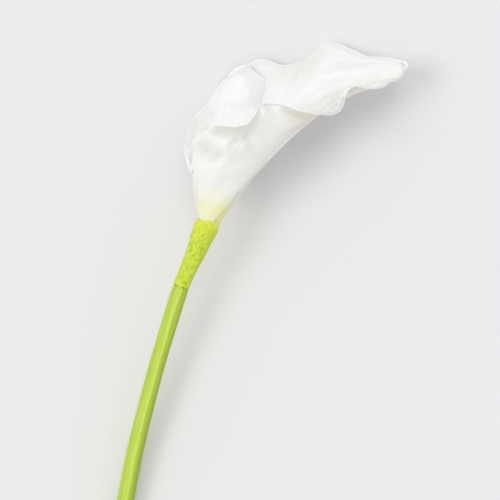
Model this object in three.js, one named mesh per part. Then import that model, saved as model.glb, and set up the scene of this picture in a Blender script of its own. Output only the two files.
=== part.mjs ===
// A cut calla lily flower, lying on its side on a flat surface.
//
// Units are millimetres and +Z is up. The stem runs away to -Y and rests with its cut end on
// the surface, the flower points to +Y, and two lips of the spathe touch the surface as well.
// The origin is on that surface, under the middle of the flower's bounding box.
//
// The pieces:
//   spathe       one white leaf rolled into a funnel, its inner margin tucked under the outer one
//   spadix       the yellow spike standing in the funnel
//   neck_sleeve  the yellow-green collar that holds the spathe on the stem
//   stem         the bare stem, with a thinner top that goes up inside the sleeve

import * as THREE from 'three';
import { mergeVertices } from 'three/addons/utils/BufferGeometryUtils.js';

// ---------------------------------------------------------------- driving dimensions

const CLEARANCE = 0.3; // between pieces that fit together
const UP = new THREE.Vector3(0, 0, 1);

// Centre line of the stem and neck, from the cut end up to the top edge of the sleeve.
const NECK = new THREE.Vector3(-25.2, 65.7, 42);
const STEM_LINE = [
  [-91, -176.5, 5.2],
  [-85, -144, 6.6],
  [-77.5, -106.5, 10],
  [-71, -74.5, 14.5],
  [-63.5, -45, 19.5],
  [-54.7, -13.5, 25.5],
  [-42.6, 24.5, 33],
  [-33.4, 46, 37.5],
  NECK.toArray(),
];

// Radii of the round pieces, as [distance down from the neck, radius].
const SLEEVE_LENGTH = 44.5;
const SLEEVE_OUTSIDE = [
  [0, 7.4], [7.5, 7.15], [11.5, 6.85], [17, 6.25], [23.5, 5.7], [30, 5.2], [35.5, 4.95], [43.5, 4.95],
];
const SLEEVE_MOUTH_RADIUS = 7.1;
const SLEEVE_EDGE_ROUNDING = 0.15;
const PEG_RADIUS = 3.3; // the stem's thinner top, inside the sleeve
const PEG_TOP = 5.6; // how far below the neck the peg ends
const STEM_OUTSIDE = [[50, 4.95], [60, 5], [84, 4.85], [117, 4.95], [147, 5.1], [180, 5.15], [215, 5.2]];
const STEM_TOP_RADIUS = 4.75;
const STEM_END_RADIUS = 5.2;

// The spadix: its own centre line after the neck, and [fraction of its length, radius].
const SPADIX_LINE = [[-21.5, 77, 43.5], [-13, 94, 45], [-1, 113, 46]];
const SPADIX_OUTSIDE = [[0, 3.1], [0.1, 3.3], [0.3, 4.2], [0.6, 4.5], [0.85, 3.9], [0.95, 2.6]];

// The spathe's sheet. A turn of 0 degrees is its front, 90 the side facing up, 180 its back and
// tip, and 270 the side facing down. Meridians leave the base ring, are pulled through the
// throat and cup rings, and end on the rim.
const SHEET_THICKNESS = 1;
const MARGIN_THICKNESS = 0.6;
const MARGIN_SHARE = 0.08; // share of the width over which each margin thins
const BASE_RADIUS = 5.7;
const SEAT_RADIUS = 4.9; // the spathe's lowest edge, inside the sleeve
const SEAT_DEPTH = 4;
const THROAT = { centre: [-19, 86, 42.5], heading: 8, halfWidth: 21, halfHeight: 12.5, normal: [0, -0.1, 1] };
const CUP = { centre: [0.5, 121, 45], heading: 31, halfWidth: 38, halfHeight: 23, normal: [0.1, -0.3, 0.94] };
const OUTER_MARGIN_RIM_TURN = 272;
const OUTER_MARGIN_SWEEP = 150; // how far the outer margin winds round between rim and base
const OVERLAP_BASE = 26; // degrees by which the margins overlap
const OVERLAP_RIM = 10;
const LAYER_STEP_BASE = 1.1; // from one layer's middle to the other's
const LAYER_STEP_RIM = 2.6;

// The tip bends down over a round edge beyond this hinge line.
const TIP_HINGE = new THREE.Vector3(87, 157, 42);
const TIP_HEADING = new THREE.Vector3(0.84, -0.54, 0).normalize();
const TIP_BEND_RADIUS = 6;

// The rim, as [x, y, z, turn], from the inner margin round to the outer one.
const RIM = [
  [-4, 161.5, 9, -98], [-9.5, 159.5, 7, -89], [-14.5, 155, 3, -78], [-19.5, 150, 1.05, -67],
  [-24, 144, 0.45, -57], [-28, 137, 3.5, -47], [-33.5, 130.5, 9, -38], [-37.5, 124.5, 15, -30],
  [-39.5, 117, 23, -22], [-40.5, 110.5, 30, -15], [-40.5, 104.5, 36, -9], [-38.5, 97.5, 43, -3],
  [-36.5, 92.5, 51, 3], [-35.5, 94, 59, 9], [-35, 99, 65.5, 15], [-34, 105, 70.5, 22],
  [-30.5, 111.5, 74.5, 30], [-26, 117, 78, 39], [-20.5, 120, 81, 48], [-13.5, 119.5, 86, 57],
  [-7.5, 119, 88, 65], [-2.5, 120.5, 87, 73], [1, 125, 84, 80], [4, 129.5, 81, 87],
  [7, 132.5, 80, 94], [13, 133, 81, 101], [20.5, 131, 84, 109], [27.5, 128.5, 86, 117],
  [34, 126.5, 86, 124], [39.5, 125.5, 84, 131], [45.5, 125, 80, 137], [50.5, 127, 74.5, 143],
  [53.5, 131.5, 70, 148], [55, 136.5, 66, 152], [57.5, 141.5, 63.5, 156], [62.5, 144, 61, 160],
  [68.5, 143.5, 57, 164], [74.5, 143, 52, 168], [80.5, 144.5, 48, 172], [85.5, 147.5, 44, 175],
  [92, 149, 40.5, 178], [98, 154.5, 37, 181], [94.5, 160.5, 34.5, 184], [88.5, 163, 32, 188],
  [82.5, 164, 29.5, 192], [76.5, 164.5, 26, 197], [70, 165.5, 21, 202], [63.5, 170, 13.5, 208],
  [56, 174.5, 6, 214], [48, 176.5, 0.85, 221], [41.5, 174.5, 0.85, 228], [37, 168.5, 5, 235],
  [31, 164, 8, 241], [23.5, 161.5, 10, 247], [16.5, 162, 9, 252], [10, 164.5, 6, 257],
  [4, 164.5, 4, 262], [-2, 162.5, 2.5, 267], [-7, 159, 2, 272],
];

// Mesh fineness.
const STEPS_ACROSS_SHEET = 96;
const STEPS_UP_SHEET = 20;
const RIM_CROWDING = 1.4; // above 1, the steps up the sheet get finer towards the rim
const ROUND_SIDES = 20;
const STEM_STEP = 12; // mm between the stem's sections

// ---------------------------------------------------------------- materials

const MATERIALS = {
  spathe: new THREE.MeshStandardMaterial({ color: 0xf7f8f4, roughness: 0.5, metalness: 0 }),
  spadix: new THREE.MeshStandardMaterial({ color: 0xe8b420, roughness: 0.85, metalness: 0 }),
  neck_sleeve: new THREE.MeshStandardMaterial({ color: 0xcfe03c, roughness: 0.7, metalness: 0 }),
  stem: new THREE.MeshStandardMaterial({ color: 0xa9c94a, roughness: 0.35, metalness: 0 }),
};

// ---------------------------------------------------------------- small helpers

// A value read off a list of [position, value] pairs, straight between neighbours.
function valueAt(pairs, position) {
  const next = pairs.findIndex(([p]) => p >= position);
  if (next === 0) return pairs[0][1];
  if (next < 0) return pairs[pairs.length - 1][1];
  const [p0, v0] = pairs[next - 1];
  const [p1, v1] = pairs[next];
  return v0 + ((v1 - v0) * (position - p0)) / (p1 - p0);
}

function curveThrough(points) {
  const vectors = points.map(([x, y, z]) => new THREE.Vector3(x, y, z));
  return new THREE.CatmullRomCurve3(vectors, false, 'catmullrom', 0.5);
}

// One closed body from a list of points and a list of triangles.
function solid(points, triangles) {
  const geometry = new THREE.BufferGeometry();
  geometry.setAttribute('position', new THREE.Float32BufferAttribute(points.flatMap((p) => p.toArray()), 3));
  geometry.setIndex(triangles.flat());
  const merged = mergeVertices(geometry, 1e-4);
  merged.computeVertexNormals();
  return merged;
}

// A round piece along a centre line. The profile is a list of { at: [centre, direction], radius }
// stations; a radius of 0 is a point on the axis. A looped profile closes on itself, as a tube's does.
function roundPiece(profile, looped = false) {
  const points = [];
  for (const { at: [centre, direction], radius } of profile) {
    const side = new THREE.Vector3().crossVectors(direction, UP).normalize();
    const top = new THREE.Vector3().crossVectors(side, direction).normalize();
    for (let i = 0; i < ROUND_SIDES; i += 1) {
      const angle = (2 * Math.PI * i) / ROUND_SIDES;
      const point = centre.clone().addScaledVector(side, radius * Math.cos(angle));
      points.push(point.addScaledVector(top, radius * Math.sin(angle)));
    }
  }
  const triangles = [];
  const bands = looped ? profile.length : profile.length - 1;
  for (let band = 0; band < bands; band += 1) {
    const next = (band + 1) % profile.length;
    for (let i = 0; i < ROUND_SIDES; i += 1) {
      const a = band * ROUND_SIDES + i;
      const b = band * ROUND_SIDES + ((i + 1) % ROUND_SIDES);
      const c = next * ROUND_SIDES + ((i + 1) % ROUND_SIDES);
      const d = next * ROUND_SIDES + i;
      if (profile[band].radius > 0) triangles.push([a, c, b]);
      if (profile[next].radius > 0) triangles.push([a, d, c]);
    }
  }
  return solid(points, triangles);
}

// ---------------------------------------------------------------- stem and sleeve

const stemCurve = curveThrough(STEM_LINE);
const STEM_LENGTH = stemCurve.getLength();

// The centre and upward direction of the stem at a distance below the neck.
function stemAt(down) {
  const share = THREE.MathUtils.clamp(1 - down / STEM_LENGTH, 0, 1);
  return [stemCurve.getPointAt(share), stemCurve.getTangentAt(share)];
}

function stemGeometry() {
  const shoulder = SLEEVE_LENGTH + CLEARANCE;
  const outside = [[shoulder, STEM_TOP_RADIUS], ...STEM_OUTSIDE, [STEM_LENGTH, STEM_END_RADIUS]];
  const profile = [{ at: stemAt(STEM_LENGTH), radius: 0 }];
  const steps = Math.round((STEM_LENGTH - shoulder) / STEM_STEP);
  for (let i = 0; i <= steps; i += 1) {
    const down = STEM_LENGTH + ((shoulder - STEM_LENGTH) * i) / steps;
    profile.push({ at: stemAt(down), radius: valueAt(outside, down) });
  }
  for (const down of [shoulder, 34, 24, 14, PEG_TOP]) {
    profile.push({ at: stemAt(down), radius: PEG_RADIUS });
  }
  profile.push({ at: stemAt(PEG_TOP), radius: 0 });
  return roundPiece(profile);
}

function sleeveGeometry() {
  const bore = PEG_RADIUS + CLEARANCE;
  const seatBore = SEAT_RADIUS + (LAYER_STEP_BASE + MARGIN_THICKNESS) / 2 + CLEARANCE;
  const lowerEdge = [SLEEVE_LENGTH, valueAt(SLEEVE_OUTSIDE, SLEEVE_LENGTH) - SLEEVE_EDGE_ROUNDING];
  const loop = [
    ...[...SLEEVE_OUTSIDE].reverse(),
    [0, SLEEVE_MOUTH_RADIUS],
    [SEAT_DEPTH + CLEARANCE, seatBore],
    ...[9, 19, 28, 37, SLEEVE_LENGTH].map((down) => [down, bore]),
    lowerEdge,
  ];
  return roundPiece(loop.map(([down, radius]) => ({ at: stemAt(down), radius })), true);
}

// ---------------------------------------------------------------- spadix

function spadixGeometry() {
  const [foot] = stemAt(PEG_TOP - CLEARANCE);
  const curve = curveThrough([foot.toArray(), NECK.toArray(), ...SPADIX_LINE]);
  const at = (share) => [curve.getPointAt(share), curve.getTangentAt(share)];
  const steps = 16;
  const profile = [{ at: at(0), radius: 0 }];
  for (let i = 0; i < steps; i += 1) {
    profile.push({ at: at(i / steps), radius: valueAt(SPADIX_OUTSIDE, i / steps) });
  }
  profile.push({ at: at(0.985), radius: 1.4 }, { at: at(1), radius: 0 });
  return roundPiece(profile);
}

// ---------------------------------------------------------------- spathe

// The rim by turn. The side facing down carries on under the inner margin, one turn back, so
// that the rim reaches past both ends of the sheet.
const rimRows = [
  ...RIM.filter(([, , , turn]) => turn > 95 && turn < 255).map(([x, y, z, turn]) => [x, y, z, turn - 360]),
  ...RIM,
];
const rimCurve = curveThrough(rimRows);
const rimTurns = curveThrough(rimRows.map(([, , , turn]) => [turn, 0, 0]));
const rimTable = [];
for (let i = 0; i <= 4000; i += 1) rimTable.push([rimTurns.getPoint(i / 4000).x, i / 4000]);

function rimPoint(turn) {
  return rimCurve.getPoint(valueAt(rimTable, turn));
}

// A point of an oval ring at a turn, pushed outwards by step.
function ringPoint(centre, across, halfWidth, up, halfHeight, turn, step) {
  const angle = THREE.MathUtils.degToRad(turn);
  return centre
    .clone()
    .addScaledVector(across, -Math.cos(angle) * (halfWidth + step))
    .addScaledVector(up, Math.sin(angle) * (halfHeight + step));
}

function namedRing(ring, turn, step) {
  const heading = THREE.MathUtils.degToRad(ring.heading);
  const across = new THREE.Vector3(Math.cos(heading), Math.sin(heading), 0);
  const up = new THREE.Vector3(...ring.normal).normalize();
  const centre = new THREE.Vector3(...ring.centre);
  return ringPoint(centre, across, ring.halfWidth, up, ring.halfHeight, turn, step);
}

// The ring of the sheet at the neck, or lower down at its seat in the sleeve.
function baseRing(down, radius, turn, step) {
  const [centre, direction] = stemAt(down);
  const across = new THREE.Vector3().crossVectors(direction, UP).normalize();
  const up = new THREE.Vector3().crossVectors(across, direction);
  return ringPoint(centre, across, radius, up, radius, turn, step);
}

function bendTip(point) {
  const beyond = point.clone().sub(TIP_HINGE).dot(TIP_HEADING);
  if (beyond <= 0) return point;
  const angle = beyond / TIP_BEND_RADIUS;
  point.addScaledVector(TIP_HEADING, TIP_BEND_RADIUS * Math.sin(angle) - beyond);
  return point.addScaledVector(UP, -TIP_BEND_RADIUS * (1 - Math.cos(angle)));
}

// The middle of the sheet: across runs 0 to 1 from the inner margin to the outer one, and
// height 0 to 1 from the neck to the rim.
function sheetPoint(across, height) {
  const outerTurn = OUTER_MARGIN_RIM_TURN - OUTER_MARGIN_SWEEP * (1 - height) ** 2;
  const overlap = THREE.MathUtils.lerp(OVERLAP_BASE, OVERLAP_RIM, height);
  const turn = outerTurn + (across - 1) * (360 + overlap);
  const step = (across - 0.5) * THREE.MathUtils.lerp(LAYER_STEP_BASE, LAYER_STEP_RIM, height);
  const low = 1 - height;
  const point = baseRing(0, BASE_RADIUS, turn, step).multiplyScalar(low ** 3);
  point.addScaledVector(namedRing(THROAT, turn, step), 3 * height * low ** 2);
  point.addScaledVector(namedRing(CUP, turn, step), 3 * height ** 2 * low);
  point.addScaledVector(rimPoint(turn), height ** 3);
  return bendTip(point);
}

// The sheet's lowest edge, down in the sleeve.
function seatPoint(across) {
  const turn = OUTER_MARGIN_RIM_TURN - OUTER_MARGIN_SWEEP + (across - 1) * (360 + OVERLAP_BASE);
  return baseRing(SEAT_DEPTH, SEAT_RADIUS, turn, (across - 0.5) * LAYER_STEP_BASE);
}

function spatheGeometry() {
  const columns = STEPS_ACROSS_SHEET + 1;
  const rows = STEPS_UP_SHEET + 2;
  const middle = [];
  for (let i = 0; i < columns; i += 1) {
    const across = i / STEPS_ACROSS_SHEET;
    middle.push([seatPoint(across)]);
    for (let j = 0; j <= STEPS_UP_SHEET; j += 1) {
      const height = 1 - (1 - j / STEPS_UP_SHEET) ** RIM_CROWDING;
      middle[i].push(sheetPoint(across, height));
    }
  }
  // Each side of the sheet is the middle moved half the thickness along the surface normal.
  const outside = [];
  const inside = [];
  for (let i = 0; i < columns; i += 1) {
    const across = i / STEPS_ACROSS_SHEET;
    const fullness = Math.min(1, Math.min(across, 1 - across) / MARGIN_SHARE);
    const thickness = THREE.MathUtils.lerp(MARGIN_THICKNESS, SHEET_THICKNESS, fullness);
    for (let j = 0; j < rows; j += 1) {
      const along = middle[Math.min(i + 1, columns - 1)][j].clone().sub(middle[Math.max(i - 1, 0)][j]);
      const upward = middle[i][Math.min(j + 1, rows - 1)].clone().sub(middle[i][Math.max(j - 1, 0)]);
      const normal = new THREE.Vector3().crossVectors(upward, along).normalize();
      outside.push(middle[i][j].clone().addScaledVector(normal, thickness / 2));
      inside.push(middle[i][j].clone().addScaledVector(normal, -thickness / 2));
    }
  }
  const points = [...outside, ...inside];
  const triangles = [];
  // A four-cornered patch, split along its shorter diagonal.
  const patch = (a, b, c, d) => {
    const splitAC = points[a].distanceTo(points[c]) <= points[b].distanceTo(points[d]);
    if (splitAC) triangles.push([a, b, c], [a, c, d]);
    else triangles.push([a, b, d], [b, c, d]);
  };
  const outer = (i, j) => i * rows + j;
  const inner = (i, j) => outside.length + i * rows + j;
  const lastColumn = columns - 1;
  const lastRow = rows - 1;
  for (let i = 0; i < lastColumn; i += 1) {
    for (let j = 0; j < lastRow; j += 1) {
      patch(outer(i, j), outer(i, j + 1), outer(i + 1, j + 1), outer(i + 1, j));
      patch(inner(i, j), inner(i + 1, j), inner(i + 1, j + 1), inner(i, j + 1));
    }
    patch(outer(i, 0), outer(i + 1, 0), inner(i + 1, 0), inner(i, 0));
    patch(outer(i, lastRow), inner(i, lastRow), inner(i + 1, lastRow), outer(i + 1, lastRow));
  }
  for (let j = 0; j < lastRow; j += 1) {
    patch(outer(0, j), inner(0, j), inner(0, j + 1), outer(0, j + 1));
    patch(outer(lastColumn, j), outer(lastColumn, j + 1), inner(lastColumn, j + 1), inner(lastColumn, j));
  }
  return solid(points, triangles);
}

// ---------------------------------------------------------------- the flower

const flower = new THREE.Group();

function addPiece(name, geometry) {
  const mesh = new THREE.Mesh(geometry, MATERIALS[name]);
  mesh.name = name;
  flower.add(mesh);
}

addPiece('spathe', spatheGeometry());
addPiece('spadix', spadixGeometry());
addPiece('neck_sleeve', sleeveGeometry());
addPiece('stem', stemGeometry());

export default flower;
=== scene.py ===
"""The looks of a cut calla lily flower that lies on its side on a pale surface.

Shapes are worked out in millimetres in the frame's own axes and turned into metres when a mesh
is made. +Z is up, +Y runs from the cut end of the stem to the flower.
"""
import math

import bpy
import numpy as np
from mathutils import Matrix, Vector


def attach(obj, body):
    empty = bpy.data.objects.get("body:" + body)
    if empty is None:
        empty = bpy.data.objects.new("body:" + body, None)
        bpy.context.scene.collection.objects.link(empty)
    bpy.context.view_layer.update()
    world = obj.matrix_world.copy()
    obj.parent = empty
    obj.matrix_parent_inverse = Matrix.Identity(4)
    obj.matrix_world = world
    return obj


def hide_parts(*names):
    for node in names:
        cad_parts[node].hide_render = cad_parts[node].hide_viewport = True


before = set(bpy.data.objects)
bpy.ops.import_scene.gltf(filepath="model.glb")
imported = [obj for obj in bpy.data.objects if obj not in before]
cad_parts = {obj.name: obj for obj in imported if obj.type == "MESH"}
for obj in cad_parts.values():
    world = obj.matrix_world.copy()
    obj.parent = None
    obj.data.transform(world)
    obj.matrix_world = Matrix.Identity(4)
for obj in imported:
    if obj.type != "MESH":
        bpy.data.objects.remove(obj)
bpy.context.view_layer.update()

MM = 0.001
UP = np.array([0.0, 0.0, 1.0])

# ---------------------------------------------------------------- dimensions of the frame's parts

# Centre line of the stem and neck, from the cut end up to the top edge of the sleeve.
NECK = (-25.2, 65.7, 42)
STEM_LINE = [
    (-91, -176.5, 5.2), (-85, -144, 6.6), (-77.5, -106.5, 10), (-71, -74.5, 14.5), (-63.5, -45, 19.5),
    (-54.7, -13.5, 25.5), (-42.6, 24.5, 33), (-33.4, 46, 37.5), NECK,
]

# Radii of the round pieces, as (distance down from the neck, radius).
SLEEVE_LENGTH = 44.5
SLEEVE_OUTSIDE = [
    (0, 7.55), (3, 7.5), (7.5, 7.3), (11.5, 6.95), (17, 6.35), (23.5, 5.8), (30, 5.25), (35.5, 4.95),
    (44.5, 4.98),
]
SLEEVE_BORE = 3.6
SLEEVE_MOUTH = [(0, 7.35), (1.5, 7.25), (3, 7.1), (4.3, 6.05), (9, SLEEVE_BORE)]
SLEEVE_LOWER_MOUTH_RADIUS = 4.6
SLEEVE_TOP_SLANT = 2.2
SLEEVE_RAGGEDNESS = [(0.30, 60, 1), (0.24, 32.7, 0), (0.16, 18.9, 2), (0.10, 10.6, 0.4)]
SLEEVE_TOP_RAGGED = 1.3
SLEEVE_FOOT_RAGGED = 0.8
PEG_RADIUS = 3.3
PEG_TOP = 5.6
STEM_SHOULDER = SLEEVE_LENGTH + 0.3
STEM_OUTSIDE = [
    (44.8, 4.75), (50, 4.95), (60, 5), (84, 4.85), (117, 4.95), (147, 5.1), (180, 5.15), (251, 5.2),
]
# The rounded cut end, as (distance in from the end, radius).
STEM_CUT = [(0, 0.4), (0, 1.6), (0, 2.8), (0, 3.8), (0, 4.6), (0.1, 5.0)]

SPADIX_LINE = [(-21.5, 77, 43.5), (-13, 94, 45), (-1, 113, 46)]
# Its radii, as (share of its length, radius), and its pattern of florets.
SPADIX_OUTSIDE = [
    (0, 3.0), (0.1, 3.2), (0.3, 4.1), (0.6, 4.4), (0.85, 3.8), (0.95, 2.5), (0.985, 1.4), (1, 0),
]
FLORETS_AROUND = 12
FLORETS_ALONG = 2.6
FLORET_HEIGHT = 0.22

# The spathe's sheet. A turn of 0 degrees is its front, 90 the side facing up, 180 its back and
# tip, and 270 the side facing down.
SHEET_THICKNESS = 0.9
EDGE_THICKNESS = 0.6
MARGIN_THINNING = 0.3
EDGE_RISE = 0.35
GROOVE_DEPTH = 0.45
# How high the lips rest above the surface, how softly they bend up to it, and up to what height
# above it that bend reaches.
RESTING_HEIGHT = 0.3
RESTING_SOFTNESS = 0.5
RESTING_REACH = 3
BASE_RADIUS = 6.5
# The part of the sheet inside the sleeve, as (distance down from the neck, radius).
SEAT = [(4, 4.9), (2.4, 6.1)]
THROAT = {
    "centre": (-18.9, 87.7, 42.5), "heading": 8, "half_width": 18.6, "half_height": 12.5,
    "normal": (0, -0.1, 1),
}
CUP = {
    "centre": (1, 121, 45), "heading": 31, "half_width": 40, "half_height": 23,
    "normal": (0.1, -0.3, 0.94),
}
RING_FULLNESS = 0.7
# Where the outer margin runs, how far it laps over the inner one in degrees, and how far apart
# the two layers are, each as (height, value).
OUTER_MARGIN = [
    (0, 118), (0.05, 127), (0.12, 138), (0.2, 146), (0.3, 162), (0.4, 190), (0.5, 220), (0.6, 245),
    (0.7, 258.5), (0.8, 265), (0.9, 270), (1, 272),
]
OVERLAP = [
    (0, 26), (0.3, 17), (0.55, 9), (0.7, 6.5), (0.76, 8), (0.82, 11), (0.87, 12.7), (0.93, 11.9),
    (1, 10.5),
]
LAYER_STEP = [(0, 0.95), (0.5, 0.9), (0.66, 0.5), (0.78, 0.35), (0.85, 0.6), (0.92, 1.9), (1, 2.6)]
TIP_TURN = 184
# How far the veins swing towards the tip at the rim, and within what reach of it, in degrees.
VEIN_SWING = 16
VEIN_SWING_REACH = 25

# The rim, as x, y, z and turn, from the inner margin round to the outer one.
RIM = [
    (-4, 161.5, 7, -98), (-9.5, 159.5, 6, -89), (-14.5, 155, 3, -78), (-19.5, 150, 1.05, -67),
    (-24, 144, 0.45, -57), (-28, 137, 5, -47), (-33.4, 130.5, 13, -38), (-37.2, 124.5, 22, -30),
    (-39, 117, 31, -22), (-39.9, 110.5, 38, -15), (-40, 104.5, 43, -9), (-38, 97.5, 46.5, -3),
    (-36.1, 92.7, 49, 3), (-36.2, 94.5, 50, 9), (-35.7, 99, 52, 15), (-34.3, 105, 56, 22),
    (-31.7, 111.5, 64, 30), (-26.2, 117, 73, 39), (-20.5, 120, 80.5, 48), (-13.5, 119.5, 85, 57),
    (-7.5, 119, 88, 65), (-2.5, 120.5, 87, 73), (1, 125, 84, 80), (4, 129.5, 81, 87),
    (7, 132.5, 80, 94), (13, 133, 81, 101), (20.5, 131, 84, 109), (27.5, 128.5, 86, 117),
    (33.5, 127, 86, 124), (38.7, 126.2, 84, 130), (44.9, 126.6, 80, 136), (50.1, 127.7, 74.5, 141.5),
    (52.8, 130.1, 72, 145), (54.5, 133.7, 69, 148.5), (55, 137.2, 66, 152), (57, 142, 63.5, 156),
    (61.2, 144.2, 61, 160), (66.5, 143.7, 57, 164), (72.9, 143.5, 52, 168), (79, 145.3, 48, 172),
    (83.6, 148.6, 44.5, 175), (92.3, 150.5, 41, 178), (98, 154.5, 37, 181), (94.4, 160.1, 34.5, 184),
    (88.2, 162.1, 32, 188), (82.5, 164, 29.5, 192), (76.5, 164.5, 26, 197), (70, 165.5, 21, 202),
    (63.5, 169.5, 13.5, 208), (56, 173.8, 6, 214.5), (48, 176, 0.85, 222), (41.5, 174, 0.85, 229),
    (37, 168.5, 3.2, 232.5), (31, 164, 5.4, 238), (23.5, 161.5, 7, 244.5), (16.5, 162, 7, 250.5),
    (10, 164.5, 5.5, 256), (4, 164.5, 4, 261.5), (-2, 162.5, 2.5, 267), (-7, 159, 2, 272),
]

# Lips that slope down beyond a hinge line. Each sets in over the first two turns, ends over the last
# two, and grows between two heights.
LIPS = [
    {"turns": (114, 124, 152, 161), "heights": (0.65, 0.8), "hinge": (47.5, 133, 80),
     "heading": (0.60, -0.80, 0), "slope": 1.8, "softness": 0.7},
    {"turns": (157, 163, 174, 181), "heights": (0.72, 0.85), "hinge": (77, 147.5, 50),
     "heading": (0.40, -0.92, 0), "slope": 1.2, "softness": 1.2},
]
TIP_ROLL = {"hinge": (89.1, 155.6, 42), "heading": (0.84, -0.54, 0), "radius": 3.5}

# Waves across the sheet and round the sleeve, each as (height, length in degrees, offset).
VEIN_RIBS = [(0.10, 7.9, 0.4), (0.07, 4.6, 2.0), (0.04, 2.9, 1.1)]
RIM_WAVES = [(0.20, 19, 0.7), (0.12, 9.2, 2.4)]
RIDGES_ONE_WAY = [(0.05, 24, 0), (0.035, 15, 1.2)]
RIDGES_OTHER_WAY = [(0.04, 18, 2.2), (0.03, 11, 0.5)]

# Folds of the sheet as seen from above: how far each stands up towards the viewer, how wide it
# is to the left and to the right of its course, and its course in x and y.
FAR_FOLDS = [
    (-1.8, 2.2, 4.2, [(49, 176), (44, 172), (40, 167), (36.5, 163.5), (34, 160), (29, 154)]),
    (0.3, 1.3, 1.3, [(44, 175), (41, 170), (36, 164.5), (31.5, 161), (28, 158.5)]),
    (1.0, 4, 4, [(50, 178), (48, 172), (46, 165), (42, 160)]),
    (-0.5, 1.7, 1.7, [(49, 160.5), (52, 162), (56.5, 162.5), (63, 163)]),
    (2.4, 3.3, 2.4, [(19, 133), (24, 138.5), (31.5, 144), (37.5, 147.5), (40.5, 150.5), (44, 153),
                     (49, 154.5), (57, 155.5), (64.5, 156), (76, 156.5)]),
    (-0.7, 1.8, 1.8, [(33, 142), (36, 144.5), (41, 148.5), (45.5, 151), (52, 152.5)]),
    (0.8, 2.2, 2.2, [(34, 137), (38, 140.5), (44.5, 145), (50, 146), (56, 148.5), (64, 151.5)]),
    (-2.3, 2.8, 2.8, [(27, 129), (31.5, 133), (37, 136), (42.5, 138.5), (49, 142), (56.5, 145),
                      (63, 148)]),
    (-1.4, 0.9, 0.9, [(36, 125), (40.5, 129.5), (43.5, 132), (47, 134.5), (51, 137), (54, 139.5),
                      (57.5, 143)]),
    (-1.2, 1.4, 1.0, [(63, 145), (66.5, 145.5), (70, 146), (73.5, 147.5), (77.5, 149), (85, 151)]),
    (-0.48, 1.2, 1.2, [(6, 151), (9, 153), (15, 157), (19, 160)]),
    (-0.48, 1.2, 1.2, [(8, 144), (12.5, 147.5), (21, 154.5), (25, 158)]),
    (0.42, 1.1, 1.1, [(5, 147), (8.5, 149), (17, 155), (21, 158)]),
    (0.48, 1.2, 1.2, [(13, 145), (17.5, 149), (26, 155), (30, 158)]),
    (0.55, 1.3, 1.3, [(18, 141), (23.5, 145), (31, 151)]),
    (-0.42, 1.2, 1.2, [(25, 137), (29.5, 140), (37, 144.5)]),
    (0.8, 3, 3, [(7, 160.5)]),
    (-0.4, 1.4, 1.4, [(60, 160), (66.5, 160.5), (73, 161), (80, 161)]),
    (-1.2, 4.5, 4.5, [(4, 162), (8.5, 157), (11.5, 151), (12, 144), (11.5, 138)]),
    (0.3, 1.2, 1.2, [(62, 157), (65.5, 157.5), (74, 158.5), (80, 159)]),
    (-1.0, 1.4, 0.5, [(89.4, 161.6), (90.2, 160), (91, 157.6), (91.9, 155.8), (92.1, 153.8), (91.8, 152)]),
    (-3.2, 0.5, 0.5, [(90.6, 160.3), (91.4, 159.7), (92.2, 159), (93.1, 158), (93.7, 157.3)]),
    (0.8, 0.9, 0.9, [(92, 161), (93, 160.2), (94.2, 158.8), (95.2, 157), (94.3, 154.9), (93.5, 153.5)]),
]
FLAP_FOLDS = [
    (3.7, 10, 11, [(-10, 157), (-8.5, 150), (-8.5, 142), (-10.5, 133)]),
    (-1.3, 2.0, 1.6, [(1, 162), (-3.5, 160), (-7, 159), (-11.5, 155.5), (-15.5, 152), (-20, 148)]),
    (-0.5, 0.7, 0.7, [(-12, 157), (-10, 157), (-6.5, 156.5), (-4.5, 154.5), (-2, 152.5), (0, 151)]),
    (-0.6, 1.0, 1.0, [(-9, 156), (-9, 154.5), (-9, 151.5), (-9.5, 146.5)]),
    (0.45, 0.9, 0.9, [(-10.5, 154), (-12, 152.5), (-15.5, 149.5), (-19.5, 146.5)]),
    (0.35, 0.9, 0.9, [(-10.5, 150), (-12, 149), (-17, 145), (-18.5, 143)]),
    (0.35, 1.1, 1.1, [(-18, 146), (-18, 144), (-18, 140), (-18, 138)]),
    (0.4, 1.1, 1.1, [(-8.5, 146), (-8.5, 144), (-9, 139.5), (-9.5, 137)]),
    (-0.4, 1.1, 1.1, [(-5, 146), (-5, 144), (-5, 140), (-5.5, 137)]),
    (-1.6, 4.5, 4.5, [(-25, 137), (-23, 131)]),
    (-1.2, 4, 4, [(-32.5, 125.5), (-33, 119.5)]),
    (7, 3.5, 8, [(-34.5, 92), (-34.5, 98), (-34, 104), (-32.5, 110), (-29, 117), (-25, 122)]),
]
NEAR_FOLDS = [
    (-4, 2.6, 6, [(-25, 113.5), (-18.5, 115.5), (-13, 115.8), (-7.5, 115.5), (-3.5, 116.5), (-0.5, 119)]),
    (1.1, 2.6, 2.6, [(-29.5, 114.5), (-24.5, 112.2), (-20, 110.2), (-16, 108.3), (-12, 106.5)]),
    (-2.5, 3.2, 4.6, [(-33, 110.5), (-30.7, 108.4), (-27.8, 106), (-24.3, 103.5), (-19.6, 102.4),
                      (-13, 101)]),
    (0.5, 4, 4, [(-35, 105), (-33.6, 101.4), (-31.3, 97.9), (-26.6, 93.8), (-21.9, 90), (-17, 86)]),
    (2.2, 5, 4, [(-1, 112), (-4.5, 106.5), (-7.5, 101), (-10, 95), (-12.5, 88)]),
    (0.7, 3, 3, [(4, 129), (9, 127)]),
    (-2.2, 2.6, 3.4, [(6, 131.5), (10, 131), (16.5, 129.5), (23.5, 127), (31, 124)]),
    (5.0, 7, 4, [(12, 133), (8, 128), (4.5, 123), (1, 118), (-2, 112.5), (-5, 106), (-8, 99)]),
]

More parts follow.
